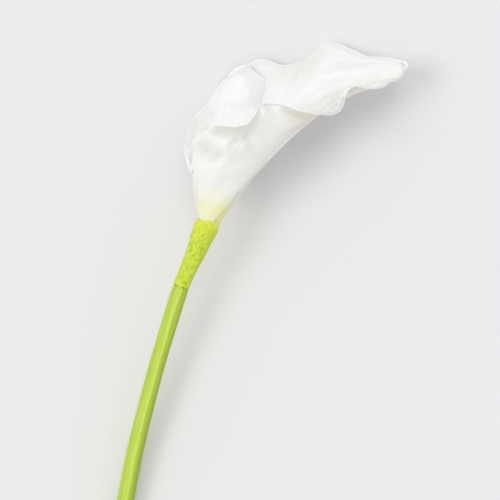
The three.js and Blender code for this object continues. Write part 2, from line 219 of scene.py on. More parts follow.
# Where one wall's folds give way to the next one's, in degrees, and the heights where folds set in.
FLAP_TO_NEAR = (-6, 6)
NEAR_TO_FAR = (128, 140)
FOLDS_SET_IN = (0.3, 0.42)

# Spots where shade and light are painted into the spathe's colour, making it a little greyer, greener,
# warmer or whiter: most darken it as painted shade in hollows, under the rim and where walls turn from
# the light, some brighten it as painted light, and a few only add yellow to the flush at the base. Each
# is a turn, height, their reach in turn and height, and the tint its colour is multiplied by.
PAINTED_SHADE_LIGHT_AND_TINTS = [
    (190, 0.73, 10, 0.13, (0.92, 0.93, 0.87)),
    (183, 0.83, 6, 0.08, (0.93, 0.93, 0.88)),
    (150, 0.88, 11, 0.13, (0.88, 0.88, 0.86)),
    (222, 0.86, 9, 0.12, (0.93, 0.93, 0.87)),
    (247, 0.92, 12, 0.12, (0.93, 0.935, 0.89)),
    (-54, 0.85, 14, 0.14, (0.94, 0.94, 0.94)),
    (117, 0.91, 15, 0.11, (0.87, 0.86, 0.83)),
    (60, 0.93, 24, 0.09, (0.89, 0.885, 0.86)),
    (26, 0.24, 14, 0.20, (0.91, 0.90, 0.89)),
    (38, 0.74, 13, 0.13, (0.94, 0.94, 0.935)),
    (62, 0.84, 12, 0.09, (0.94, 0.94, 0.93)),
    (160, 0.95, 10, 0.08, (0.93, 0.93, 0.92)),
    (152, 0.92, 10, 0.09, (0.94, 0.94, 0.93)),
    (178, 0.89, 9, 0.09, (0.94, 0.94, 0.93)),
    (205, 0.66, 16, 0.08, (0.95, 0.95, 0.94)),
    (232, 0.90, 11, 0.16, (0.92, 0.92, 0.88)),
    (34, 0.88, 13, 0.10, (0.92, 0.92, 0.91)),
    (50, 0.65, 16, 0.09, (0.87, 0.87, 0.87)),
    (26, 0.42, 20, 0.18, (0.95, 0.95, 0.96)),
    (66, 0.80, 10, 0.08, (0.91, 0.91, 0.90)),
    (40, 0.14, 18, 0.12, (0.95, 0.95, 1.0)),
    (116, 0.13, 18, 0.08, (1.0, 1.0, 0.88)),
    (108, 0.11, 30, 0.13, (1.01, 1.01, 0.86)),
    (128, 0.75, 12, 0.08, (1.06, 1.06, 1.07)),
    (98, 0.77, 10, 0.12, (1.05, 1.05, 1.05)),
    (158, 0.45, 20, 0.36, (1.11, 1.10, 1.09)),
    (-96, 0.86, 20, 0.14, (1.07, 1.075, 1.075)),
    (-26, 0.95, 11, 0.07, (1.09, 1.10, 1.11)),
    (-11, 0.86, 8, 0.17, (1.09, 1.10, 1.12)),
    (262, 0.81, 10, 0.11, (1.08, 1.08, 1.08)),
    (36, 0.78, 12, 0.10, (0.93, 0.93, 0.935)),
    (68, 0.83, 10, 0.07, (0.95, 0.95, 0.95)),
    (20, 0.87, 16, 0.11, (0.96, 0.96, 0.965)),
    (54, 0.86, 8, 0.06, (0.95, 0.95, 0.95)),
    (94, 0.87, 10, 0.07, (1.07, 1.07, 1.08)),
    (102, 0.49, 17, 0.16, (1.06, 1.06, 1.05)),
    (109, 0.94, 7, 0.07, (0.91, 0.91, 0.93)),
    (128, 0.78, 12, 0.09, (1.04, 1.04, 1.07)),
    (94, 0.22, 20, 0.14, (1.05, 1.05, 1.0)),
    (134, 0.15, 14, 0.09, (1.03, 1.03, 0.88)),
    (72, 0.25, 20, 0.10, (1.02, 1.02, 0.94)),
]

# ---------------------------------------------------------------- fineness of the meshes

SHEET_COLUMNS = 420
SHEET_ROWS = 104
RIM_CROWDING = 1.4
TIP_CROWDING = 2.5
EDGE_STEPS = 4

# ---------------------------------------------------------------- camera

CAMERA_LENS = 150
CAMERA_SENSOR = 36
CAMERA_PLACE = (-0.9 * MM, 47.1 * MM, 1.292)

# ---------------------------------------------------------------- surface and light

FLOOR_HALF = 2.5
FLOOR_COLOUR = (0.800, 0.786, 0.793, 1)
SKY_STRENGTH = 0.728
# Each sun's strength, spread in degrees and the direction it comes from.
SUNS = {"key": (0.806, 25, (-0.574, 0, 0.819)), "second": (0.431, 25, (0, 0.342, 0.94))}

# ---------------------------------------------------------------- places that are tinted or painted with shade

# Centres of painted shade on the outer side, round the back and under the second lobe.
BACK_PAINTED_SHADE = (38, 124, 70)
LOBE_UNDERSIDE = (64, 142, 58)
TIP_PLACE = (92, 153, 32)
# How far the painted crease shade moves round the sheet, as a share of a turn, from its foot to the rim.
CREASE_LEAN = 0.15


# ---------------------------------------------------------------- small helpers

def unit(vectors):
    vectors = np.asarray(vectors, float)
    return vectors / np.maximum(np.linalg.norm(vectors, axis=-1, keepdims=True), 1e-12)


def smooth(low, high, value):
    """0 below low and 1 above high, with an even slope between."""
    share = np.clip((value - low) / (high - low), 0, 1)
    return share * share * (3 - 2 * share)


def hill(value, centre, width):
    return np.exp(-(((value - centre) / width) ** 2))


def read_off(pairs, positions):
    rows = np.array(pairs, float)
    return np.interp(positions, rows[:, 0], rows[:, 1])


def glide(pairs, positions):
    """Reads values off a smooth curve through pairs of a position and a value."""
    rows = curve_through(pairs, np.linspace(0, 1, 40 * len(pairs)))
    return np.interp(positions, rows[:, 0], rows[:, 1])


def curve_through(points, shares):
    """A smooth curve through points, at shares of 0 to 1 of its stretches."""
    points = np.asarray(points, float)
    ends = np.vstack([2 * points[0] - points[1], points, 2 * points[-1] - points[-2]])
    place = np.clip(shares, 0, 1) * (len(points) - 1)
    stretch = np.minimum(place.astype(int), len(points) - 2)
    t = (place - stretch)[..., None]
    a, b, c, d = (ends[stretch + k] for k in range(4))
    cubic = -a + 3 * b - 3 * c + d
    square = 2 * a - 5 * b + 4 * c - d
    return 0.5 * (2 * b + (c - a) * t + square * t**2 + cubic * t**3)


def ripple(place, waves):
    """A sum of waves, each given by its height, length and offset."""
    return sum(height * np.sin(2 * math.pi * place / length + offset) for height, length, offset in waves)


class Path:
    """A curve measured by the distance along it."""

    def __init__(self, points):
        self.points = curve_through(points, np.linspace(0, 1, 2001))
        steps = np.linalg.norm(np.diff(self.points, axis=0), axis=1)
        self.distance = np.concatenate([[0], np.cumsum(steps)])
        self.length = self.distance[-1]

    def at(self, distance):
        inside = np.stack([np.interp(distance, self.distance, self.points[:, k]) for k in range(3)], -1)
        beyond = np.maximum(distance - self.length, 0)
        return inside + beyond[..., None] * unit(self.points[-1] - self.points[-20])

    def frame_at(self, distance):
        """The centre, the sideways direction and the upward direction across the curve."""
        ahead = self.at(distance + 0.5)
        behind = self.at(np.maximum(distance - 0.5, 0))
        direction = unit(ahead - behind)
        side = unit(np.cross(direction, UP))
        return self.at(distance), side, np.cross(side, direction)


def make_mesh(name, points, faces, maps):
    """A smooth-shaded object from points in millimetres, riding on the frame's one body."""
    mesh = bpy.data.meshes.new(name)
    mesh.from_pydata((np.asarray(points) * MM).tolist(), [], faces)
    mesh.polygons.foreach_set("use_smooth", [True] * len(mesh.polygons))
    corners = np.empty(len(mesh.loops), dtype=np.int32)
    mesh.loops.foreach_get("vertex_index", corners)
    for map_name, places in maps.items():
        layer = mesh.uv_layers.new(name=map_name)
        layer.data.foreach_set("uv", np.asarray(places)[corners].ravel())
    mesh.update()
    piece = bpy.data.objects.new(name, mesh)
    bpy.context.scene.collection.objects.link(piece)
    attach(piece, "root")
    return piece


# ---------------------------------------------------------------- the spathe's sheet

stem_path = Path(STEM_LINE)


def stem_frame(down):
    return stem_path.frame_at(np.maximum(stem_path.length - np.asarray(down, float), 0))


rim_rows = np.array(RIM, float)
hidden_rim = rim_rows[(rim_rows[:, 3] > 95) & (rim_rows[:, 3] < 258)] - (0, 0, 0, 360)
rim_samples = curve_through(np.vstack([hidden_rim, rim_rows]), np.linspace(0, 1, 8001))


def rim_point(turn):
    return np.stack([np.interp(turn, rim_samples[:, 3], rim_samples[:, k]) for k in range(3)], -1)


def ring_point(centre, across, half_width, up, half_height, turn, step, fullness=1.0):
    """A point of an oval ring. A fullness below 1 makes the oval boxier."""
    angle = np.radians(turn)
    sideways = -np.cos(angle) * (half_width + step)
    upwards = np.sign(np.sin(angle)) * np.abs(np.sin(angle)) ** fullness * (half_height + step)
    return np.asarray(centre, float) + sideways[..., None] * across + upwards[..., None] * up


def named_ring(ring, turn, step):
    heading = math.radians(ring["heading"])
    across = np.array([math.cos(heading), math.sin(heading), 0])
    up = unit(ring["normal"])
    return ring_point(
        ring["centre"], across, ring["half_width"], up, ring["half_height"], turn, step, RING_FULLNESS)


def base_ring(down, radius, turn, step):
    centre, side, up = stem_frame(down)
    return ring_point(centre, side, radius, up, radius, turn, step)


def sheet_turn(across, height):
    return glide(OUTER_MARGIN, height) + (across - 1) * (360 + glide(OVERLAP, height))


def sheet_middle(across, height):
    """The bare middle of the sheet, with no folds in it yet."""
    turn = sheet_turn(across, height)
    step = (across - 0.5) * glide(LAYER_STEP, height)
    low = 1 - height
    weights = [low**3, 3 * height * low**2, 3 * height**2 * low, height**3]
    rings = [
        base_ring(0, BASE_RADIUS, turn, step), named_ring(THROAT, turn, step),
        named_ring(CUP, turn, step), rim_point(turn),
    ]
    return sum(weight[..., None] * ring for weight, ring in zip(weights, rings))


def rim_columns():
    """Shares across the sheet, spaced by the length of the rim and closer at the tip."""
    across = np.linspace(0, 1, 6001)
    turn = sheet_turn(across, 1.0)
    steps = np.linalg.norm(np.diff(rim_point(turn), axis=0), axis=1)
    middle_turn = (turn[1:] + turn[:-1]) / 2
    steps = steps * (1 + TIP_CROWDING * hill(middle_turn, TIP_TURN, 10)) + 0.02
    total = np.concatenate([[0], np.cumsum(steps)])
    return np.interp(np.linspace(0, total[-1], SHEET_COLUMNS), total, across)


def roll_over(points, hinge, heading, radius):
    """Bends what lies beyond a hinge line downwards and back, round a given radius."""
    heading = unit(heading)
    beyond = (points - np.asarray(hinge, float)) @ heading
    angle = np.clip(beyond / radius, 0, math.pi)
    straight = np.where(beyond > 0, beyond - radius * angle, 0)
    forward = radius * np.sin(angle) + straight * np.cos(angle)
    drop = radius * (1 - np.cos(angle)) + straight * np.sin(angle)
    moved = np.where(beyond > 0, forward - beyond, 0)
    return points + moved[..., None] * heading - np.where(beyond > 0, drop, 0)[..., None] * UP


def droop(points, strength, hinge, heading, slope, softness):
    """Lets what lies beyond a hinge line slope down, without moving its outline seen from above."""
    beyond = (points - np.asarray(hinge, float)) @ unit(heading)
    ramp = (beyond + np.sqrt(beyond**2 + softness**2)) / 2
    return points - (strength * slope * ramp)[..., None] * UP


def fold(seen, left_width, right_width, course):
    """A swelling of height 1 along a course of x, y places, seen from above."""
    if len(course) == 1:
        return hill(np.linalg.norm(seen - np.array(course[0]), axis=-1), 0, left_width)
    stops = curve_through(course, np.linspace(0, 1, 6 * len(course) - 5))
    nearest = np.full(seen.shape[:-1], np.inf)
    on_left = np.zeros(seen.shape[:-1], bool)
    along = np.zeros(seen.shape[:-1])
    for number, (start, stop) in enumerate(zip(stops[:-1], stops[1:])):
        step = stop - start
        offset = seen - start
        share = np.clip(offset @ step / (step @ step), 0, 1)
        distance = np.linalg.norm(offset - share[..., None] * step, axis=-1)
        closer = distance < nearest
        nearest = np.where(closer, distance, nearest)
        on_left = np.where(closer, step[0] * offset[..., 1] > step[1] * offset[..., 0], on_left)
        along = np.where(closer, (number + share) / (len(stops) - 1), along)
    width = np.where(on_left, left_width, right_width)
    return hill(nearest / width, 0, 1) * smooth(0, 0.2, along) * smooth(1, 0.8, along)


def fold_heights(seen, turn, height):
    """How far the folds stand up towards the viewer, on each of the three walls."""
    flap_end, near_start = FLAP_TO_NEAR
    near_end, far_start = NEAR_TO_FAR
    walls = [
        (FAR_FOLDS, smooth(near_end, far_start, turn)),
        (FLAP_FOLDS, smooth(near_start, flap_end, turn)),
        (NEAR_FOLDS, smooth(far_start, near_end, turn) * smooth(flap_end, near_start, turn)),
    ]
    total = np.zeros(turn.shape)
    for folds, share in walls:
        on_wall = (share > 0) & (height > FOLDS_SET_IN[0])
        places = seen[on_wall]
        raised = sum(rise * fold(places, left, right, course) for rise, left, right, course in folds)
        total[on_wall] += raised * share[on_wall]
    return total * smooth(*FOLDS_SET_IN, height)


def vein_place(turn, height):
    """Which vein passes: near the rim the veins swing towards the tip."""
    from_tip = turn - TIP_TURN
    return from_tip + VEIN_SWING * smooth(0.5, 1, height) * np.tanh(from_tip / VEIN_SWING_REACH)


def sheet_relief(turn, height):
    """How far the sheet stands out towards its outer side, in millimetres."""
    vein = vein_place(turn, height)
    ribs = ripple(vein, VEIN_RIBS)
    relief = ribs * smooth(0.2, 0.6, height) * (0.35 + 0.65 * smooth(150, 190, np.abs(turn)))
    # The very edge stands a little proud, with a shallow groove behind it.
    edge = EDGE_RISE * smooth(0.984, 0.996, height) - GROOVE_DEPTH * hill(height, 0.97, 0.011)
    relief += edge * smooth(35, 60, np.abs(turn))
    wave = ripple(turn, RIM_WAVES)
    return relief + wave * smooth(0.86, 1, height) ** 2


def rest_on_surface(points):
    """Keeps the lips from sinking into what the flower lies on."""
    depth = points[..., 2] - RESTING_HEIGHT
    lifted = RESTING_HEIGHT + (depth + np.sqrt(depth**2 + RESTING_SOFTNESS**2)) / 2
    raised = np.where(depth < RESTING_REACH, lifted, points[..., 2])
    return np.concatenate([points[..., :2], raised[..., None]], axis=-1)


def sheet_surface():
    """The middle of the finished sheet, with each point's turn and height."""
    across = rim_columns()[:, None]
    height = (1 - (1 - np.linspace(0, 1, SHEET_ROWS)) ** RIM_CROWDING)[None, :]
    across, height = np.broadcast_arrays(across, height)
    turn = sheet_turn(across, height)
    middle = sheet_middle(across, height)
    folds = fold_heights(middle[..., :2], turn, height)
    middle = middle + sheet_normal(middle) * sheet_relief(turn, height)[..., None]
    middle = middle + folds[..., None] * UP
    for lip in LIPS:
        first, full, waning, last = lip["turns"]
        strength = smooth(first, full, turn) * smooth(last, waning, turn) * smooth(*lip["heights"], height)
        middle = droop(middle, strength, lip["hinge"], lip["heading"], lip["slope"], lip["softness"])
    middle = roll_over(middle, **TIP_ROLL)
    middle = rest_on_surface(middle)
    seat = []
    for down, radius in SEAT:
        seat.append(base_ring(down, radius, turn[:, 0], (across[:, 0] - 0.5) * LAYER_STEP[0][1]))
    middle = np.concatenate([np.stack(seat, 1), middle], axis=1)
    turn = np.concatenate([turn[:, :1], turn[:, :1], turn], axis=1)
    height = np.concatenate([height[:, :1] - 0.04, height[:, :1] - 0.02, height], axis=1)
    across = np.concatenate([across[:, :1], across[:, :1], across], axis=1)
    return middle, across, turn, height


def sheet_normal(middle):
    along = np.gradient(middle, axis=0)
    upward = np.gradient(middle, axis=1)
    return unit(np.cross(along, upward))


def border(columns, rows):
    """The sheet's border as a loop of grid places."""
    bottom = [(i, 0) for i in range(columns - 1)]
    outer = [(columns - 1, j) for j in range(rows - 1)]
    top = [(i, rows - 1) for i in range(columns - 1, 0, -1)]
    inner = [(0, j) for j in range(rows - 1, 0, -1)]
    return np.array(bottom + outer + top + inner)


def strip_triangles(points):
    """Triangles between neighbouring rows of a grid of points, always across the shorter gap."""
    columns, rows = points.shape[:2]
    triangles = []
    for row in range(rows - 1):
        low = points[:, row].tolist()
        high = points[:, row + 1].tolist()
        i = 0
        k = 0
        while i < columns - 1 or k < columns - 1:
            if k == columns - 1:
                step_on_low = True
            elif i == columns - 1:
                step_on_low = False
            else:
                step_on_low = math.dist(low[i + 1], high[k]) < math.dist(low[i], high[k + 1])
            if step_on_low:
                triangles.append((i * rows + row, (i + 1) * rows + row, k * rows + row + 1))
                i += 1
            else:
                triangles.append((i * rows + row, (k + 1) * rows + row + 1, k * rows + row + 1))
                k += 1
    return np.array(triangles)


def build_spathe():
    middle, across, turn, height = sheet_surface()
    columns, rows = turn.shape
    normal = sheet_normal(middle)
    from_margin = np.minimum(across, 1 - across)
    fullness = smooth(0, 0.06, from_margin) * smooth(1, 0.9, height)
    half = (EDGE_THICKNESS + (SHEET_THICKNESS - EDGE_THICKNESS) * fullness) / 2
    half = half - MARGIN_THINNING / 2 * smooth(0.03, 0, from_margin)
    outside = middle + normal * half[..., None]
    inside = middle - normal * half[..., None]
    places = np.stack([turn / 360, height], -1).reshape(-1, 2)
    flat_across = across.reshape(-1)

    # The edge is rounded by loops of points between the outer and the inner side.
    loop = border(columns, rows)
    i, j = loop[:, 0], loop[:, 1]
    along = np.gradient(middle, axis=0)[i, j]
    upward = np.gradient(middle, axis=1)[i, j]
    outward = unit(along) * ((i == columns - 1) * 1.0 - (i == 0) * 1.0)[:, None]
    outward += unit(upward) * ((j == rows - 1) * 1.0 - (j == 0) * 1.0)[:, None]
    outward = unit(outward)
    loops = []
    for k in range(1, EDGE_STEPS + 1):
        angle = math.pi * k / (EDGE_STEPS + 1)
        offset = math.cos(angle) * normal[i, j] + math.sin(angle) * outward
        loops.append(middle[i, j] + offset * half[i, j][:, None])

    points = np.concatenate([outside.reshape(-1, 3), inside.reshape(-1, 3), *loops])
    border_places = i * rows + j
    all_places = np.concatenate([places, places] + [places[border_places]] * EDGE_STEPS)
    inward = [np.zeros(len(places)), np.ones(len(places))]
    inward += [np.full(len(loop), (k + 1) / (EDGE_STEPS + 1)) for k in range(EDGE_STEPS)]
    all_across = np.concatenate([flat_across, flat_across] + [flat_across[border_places]] * EDGE_STEPS)
    sides = np.stack([np.concatenate(inward), all_across], -1)
    triangles = strip_triangles(middle)
    count = columns * rows
    faces = triangles.tolist() + (triangles[:, ::-1] + count).tolist()
    rings = [i * rows + j]
    rings += [2 * count + k * len(loop) + np.arange(len(loop)) for k in range(EDGE_STEPS)]
    rings += [count + i * rows + j]
    for first, second in zip(rings[:-1], rings[1:]):
        faces += np.stack([np.roll(first, -1), first, second, np.roll(second, -1)], 1).tolist()
    piece = make_mesh("spathe_sheet", points, faces, {"sheet": all_places, "side": sides})
    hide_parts("spathe")
    return piece


# ---------------------------------------------------------------- round pieces

def round_piece(name, path, distance, radius, sides, looped=False, relief=None, shift=None):
    """A round surface along a path. relief(distance, angle) raises it, shift slides it along."""
    distance = np.asarray(distance, float)[:, None]
    radius = np.asarray(radius, float)[:, None]
    angle = np.linspace(0, 2 * math.pi, sides, endpoint=False)[None, :]
    place = distance + (shift(distance, angle) if shift else 0) + 0 * angle
    centre, side, up = path.frame_at(np.maximum(place, 0))
    reach = radius + (relief(distance, angle) if relief else 0) * (radius > 0) + 0 * angle
    points = centre + reach[..., None] * (np.cos(angle)[..., None] * side + np.sin(angle)[..., None] * up)
    rings = len(distance)
    grid = np.arange(rings * sides).reshape(rings, sides)
    faces = []
    for ring in range(rings if looped else rings - 1):
        here = grid[ring]
        there = grid[(ring + 1) % rings]
        quads = np.stack([here, there, np.roll(there, -1), np.roll(here, -1)], 1)
        faces += quads.tolist()
    if not looped:
        faces.append(grid[0].tolist())
        faces.append(grid[-1][::-1].tolist())
    uvs = np.stack([np.broadcast_to(angle / (2 * math.pi), place.shape), place / 100], -1).reshape(-1, 2)
    return make_mesh(name, points.reshape(-1, 3), faces, {"sheet": uvs})


def stations(start, stop, step):
    return np.linspace(start, stop, max(2, int(round(abs(stop - start) / step)) + 1))


def build_stem():
    length = stem_path.length
    down = stations(length - 0.5, STEM_SHOULDER, 1.2)
    radius = read_off(STEM_OUTSIDE, down)
    end = [(length - inwards, end_radius) for inwards, end_radius in STEM_CUT]
    peg = [(d, PEG_RADIUS) for d in stations(STEM_SHOULDER, PEG_TOP, 3)]
    down = np.concatenate([[d for d, _ in end], down, [d for d, _ in peg], [PEG_TOP]])
    radius = np.concatenate([[r for _, r in end], radius, [r for _, r in peg], [0.3]])

    def relief(distance, angle):
        ribs = 0.035 * np.cos(11 * angle + 0.02 * distance) + 0.02 * np.cos(7 * angle + 1.3)
        return ribs + 0.05 * np.sin(distance / 9.0 + 0.6) * np.cos(angle - 0.5)

    piece = round_piece("stem_surface", stem_path, length - down, radius, 64, relief=relief)
    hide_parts("stem")
    return piece


def spiral_step(angle):
    """How far the spathe's winding layers stand in from the outermost one, round the base ring."""
    turns_back = (OUTER_MARGIN[0][1] - (180 - np.degrees(angle))) % 360
    step = LAYER_STEP[0][1] * turns_back / (360 + OVERLAP[0][1])
    return -step * smooth(0, 12, 360 - turns_back)


def build_sleeve():
    outside = stations(SLEEVE_LENGTH, 0, 0.3)
    loop = [(d, r) for d, r in zip(outside, read_off(SLEEVE_OUTSIDE, outside))]
    loop += SLEEVE_MOUTH
    loop += [(d, SLEEVE_BORE) for d in (19, 28, 37)]
    loop += [(SLEEVE_LENGTH, SLEEVE_BORE), (SLEEVE_LENGTH, SLEEVE_LOWER_MOUTH_RADIUS)]
    down = np.array([d for d, _ in loop])
    radius = np.array([r for _, r in loop])
    is_skin = (np.arange(len(loop)) < len(outside)) * 1.0

    def relief(distance, angle):
        down_here = stem_path.length - distance
        ridges = ripple(np.degrees(angle) + 1.5 * down_here, RIDGES_ONE_WAY)
        ridges = ridges + ripple(np.degrees(angle) - 2.4 * down_here, RIDGES_OTHER_WAY)
        winding = np.sin(0.9 * down_here + 3 * angle)
        patches = 0.6 + 0.4 * winding * np.sin(0.53 * down_here - 2 * angle + 1)
        swell = 0.12 * np.sin(0.33 * down_here + 2 * angle) * np.sin(3 * angle + 0.11 * down_here)
        skin = (ridges * patches + swell) * is_skin[:, None] * smooth(0, 1.5, down_here)
        return skin + spiral_step(angle) * smooth(7, 1, down_here) * (down_here < 7)

    def shift(distance, angle):
        down_here = stem_path.length - distance
        jagged = ripple(np.degrees(angle), SLEEVE_RAGGEDNESS)
        lower_edge = SLEEVE_FOOT_RAGGED * jagged * smooth(SLEEVE_LENGTH - 2, SLEEVE_LENGTH, down_here)
        slanted = SLEEVE_TOP_SLANT * np.cos(angle) - SLEEVE_TOP_RAGGED * jagged
        upper_edge = slanted * smooth(9, 0, down_here)
        return lower_edge + upper_edge

    piece = round_piece(
        "sleeve_surface", stem_path, stem_path.length - down, radius, 192,
        looped=True, relief=relief, shift=shift)
    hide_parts("neck_sleeve")
    return piece


def build_spadix():
    foot = stem_frame(PEG_TOP - 0.3)[0]
    path = Path([tuple(foot), NECK, *SPADIX_LINE])
    share = np.concatenate([[0], np.linspace(0, 1, 260) ** 0.97])
    radius = read_off(SPADIX_OUTSIDE, share)
    radius[0] = 0.5
    radius[-1] = 0.2

    def relief(distance, angle):
        around = FLORETS_AROUND * angle
        along = FLORETS_ALONG * distance
        florets = np.cos(around + along) * np.cos(around - along)
        show = smooth(8, 12, distance) * smooth(path.length, path.length - 2, distance)
        return FLORET_HEIGHT * florets * show

    piece = round_piece("spadix_surface", path, share * path.length, radius, 144, relief=relief)
    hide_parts("spadix")
    return piece


# ---------------------------------------------------------------- materials

class Look:
    """A node material with short calls for the nodes used here."""

    def __init__(self, name, **inputs):
        self.material = bpy.data.materials.new(name)
        self.material.use_nodes = True
        self.nodes = self.material.node_tree.nodes
        self.links = self.material.node_tree.links
        self.shader = self.nodes["Principled BSDF"]
        for socket, value in inputs.items():
            self.shader.inputs[socket.replace("_", " ")].default_value = value

    def node(self, kind, settings=None, **inputs):
        node = self.nodes.new(kind)
        for key, value in (settings or {}).items():
            setattr(node, key, value)
        for socket, value in inputs.items():
            self.feed(node.inputs[socket.replace("_", " ")], value)
        return node

    def feed(self, socket, value):
        if isinstance(value, bpy.types.NodeSocket):
            self.links.new(value, socket)
        else:
            socket.default_value = value

    def place(self):
        return self.node("ShaderNodeTexCoord").outputs["Object"]

    def sheet_place(self):
        return self.node("ShaderNodeUVMap", {"uv_map": "sheet"}).outputs["UV"]

    def side(self):
        """0 on the outer side of the sheet and 1 on the inner, and the share across it."""
        return self.parted(self.node("ShaderNodeUVMap", {"uv_map": "side"}).outputs["UV"])

    def parted(self, place):
        """The first two numbers of a place."""
        split = self.node("ShaderNodeSeparateXYZ")
        self.links.new(place, split.inputs[0])
        return split.outputs["X"], split.outputs["Y"]

    def stretched(self, place, scale):
        return self.node("ShaderNodeMapping", Vector=place, Scale=scale).outputs["Vector"]

    def noise(self, place, scale, detail=3.0, roughness=0.5):
        node = self.node(
            "ShaderNodeTexNoise", Vector=place, Scale=scale, Detail=detail, Roughness=roughness)
        return node.outputs["Fac"]

    def ramp(self, value, stops):
        node = self.node("ShaderNodeValToRGB", Fac=value)
        marks = node.color_ramp.elements
        for index, (position, colour) in enumerate(stops):
            mark = marks[index] if index < 2 else marks.new(position)
            mark.position = position
            mark.color = colour if len(colour) == 4 else (*colour, 1)
        return node.outputs["Color"]

    def span(self, value, low, high, to_low=0.0, to_high=1.0):
        node = self.node("ShaderNodeMapRange", {"interpolation_type": "SMOOTHSTEP"}, Value=value)
        limits = {"From Min": low, "From Max": high, "To Min": to_low, "To Max": to_high}
        for socket, number in limits.items():
            node.inputs[socket].default_value = number
        return node.outputs["Result"]

    def maths(self, operation, first, second):
        node = self.node("ShaderNodeMath", {"operation": operation})
        self.feed(node.inputs[0], first)
        self.feed(node.inputs[1], second)
        return node.outputs[0]

    def times(self, first, second):
        return self.maths("MULTIPLY", first, second)

    def mix(self, share, first, second, blend="MIX"):
        node = self.node("ShaderNodeMix", {"data_type": "RGBA", "blend_type": blend})
        self.feed(node.inputs["Factor"], share)
        self.feed(node.inputs["A"], first if isinstance(first, bpy.types.NodeSocket) else (*first, 1))
        self.feed(node.inputs["B"], second if isinstance(second, bpy.types.NodeSocket) else (*second, 1))
        return node.outputs["Result"]

    def distance(self, place, point):
        node = self.node("ShaderNodeVectorMath", {"operation": "DISTANCE"})
        self.feed(node.inputs[0], place)
        self.feed(node.inputs[1], tuple(MM * value for value in point))
        return node.outputs["Value"]

    def spot(self, sheet, centre, reach):
        """1 at a turn and height of the sheet, fading to 0 at an oval round it."""
        scale = (1 / reach[0], 1 / reach[1], 0)
        shift = (-centre[0] / reach[0], -centre[1] / reach[1], 0)
        place = self.node("ShaderNodeMapping", Vector=sheet, Scale=scale, Location=shift).outputs["Vector"]
        node = self.node("ShaderNodeVectorMath", {"operation": "LENGTH"})
        self.feed(node.inputs[0], place)
        return self.span(node.outputs["Value"], 1.0, 0.15)

    def bump(self, height, strength, depth, below=None):
        node = self.node("ShaderNodeBump", Height=height, Strength=strength, Distance=depth * MM)
        if below is not None:
            self.links.new(below, node.inputs["Normal"])
        return node.outputs["Normal"]

    def set(self, socket, value):
        self.feed(self.shader.inputs[socket], value)


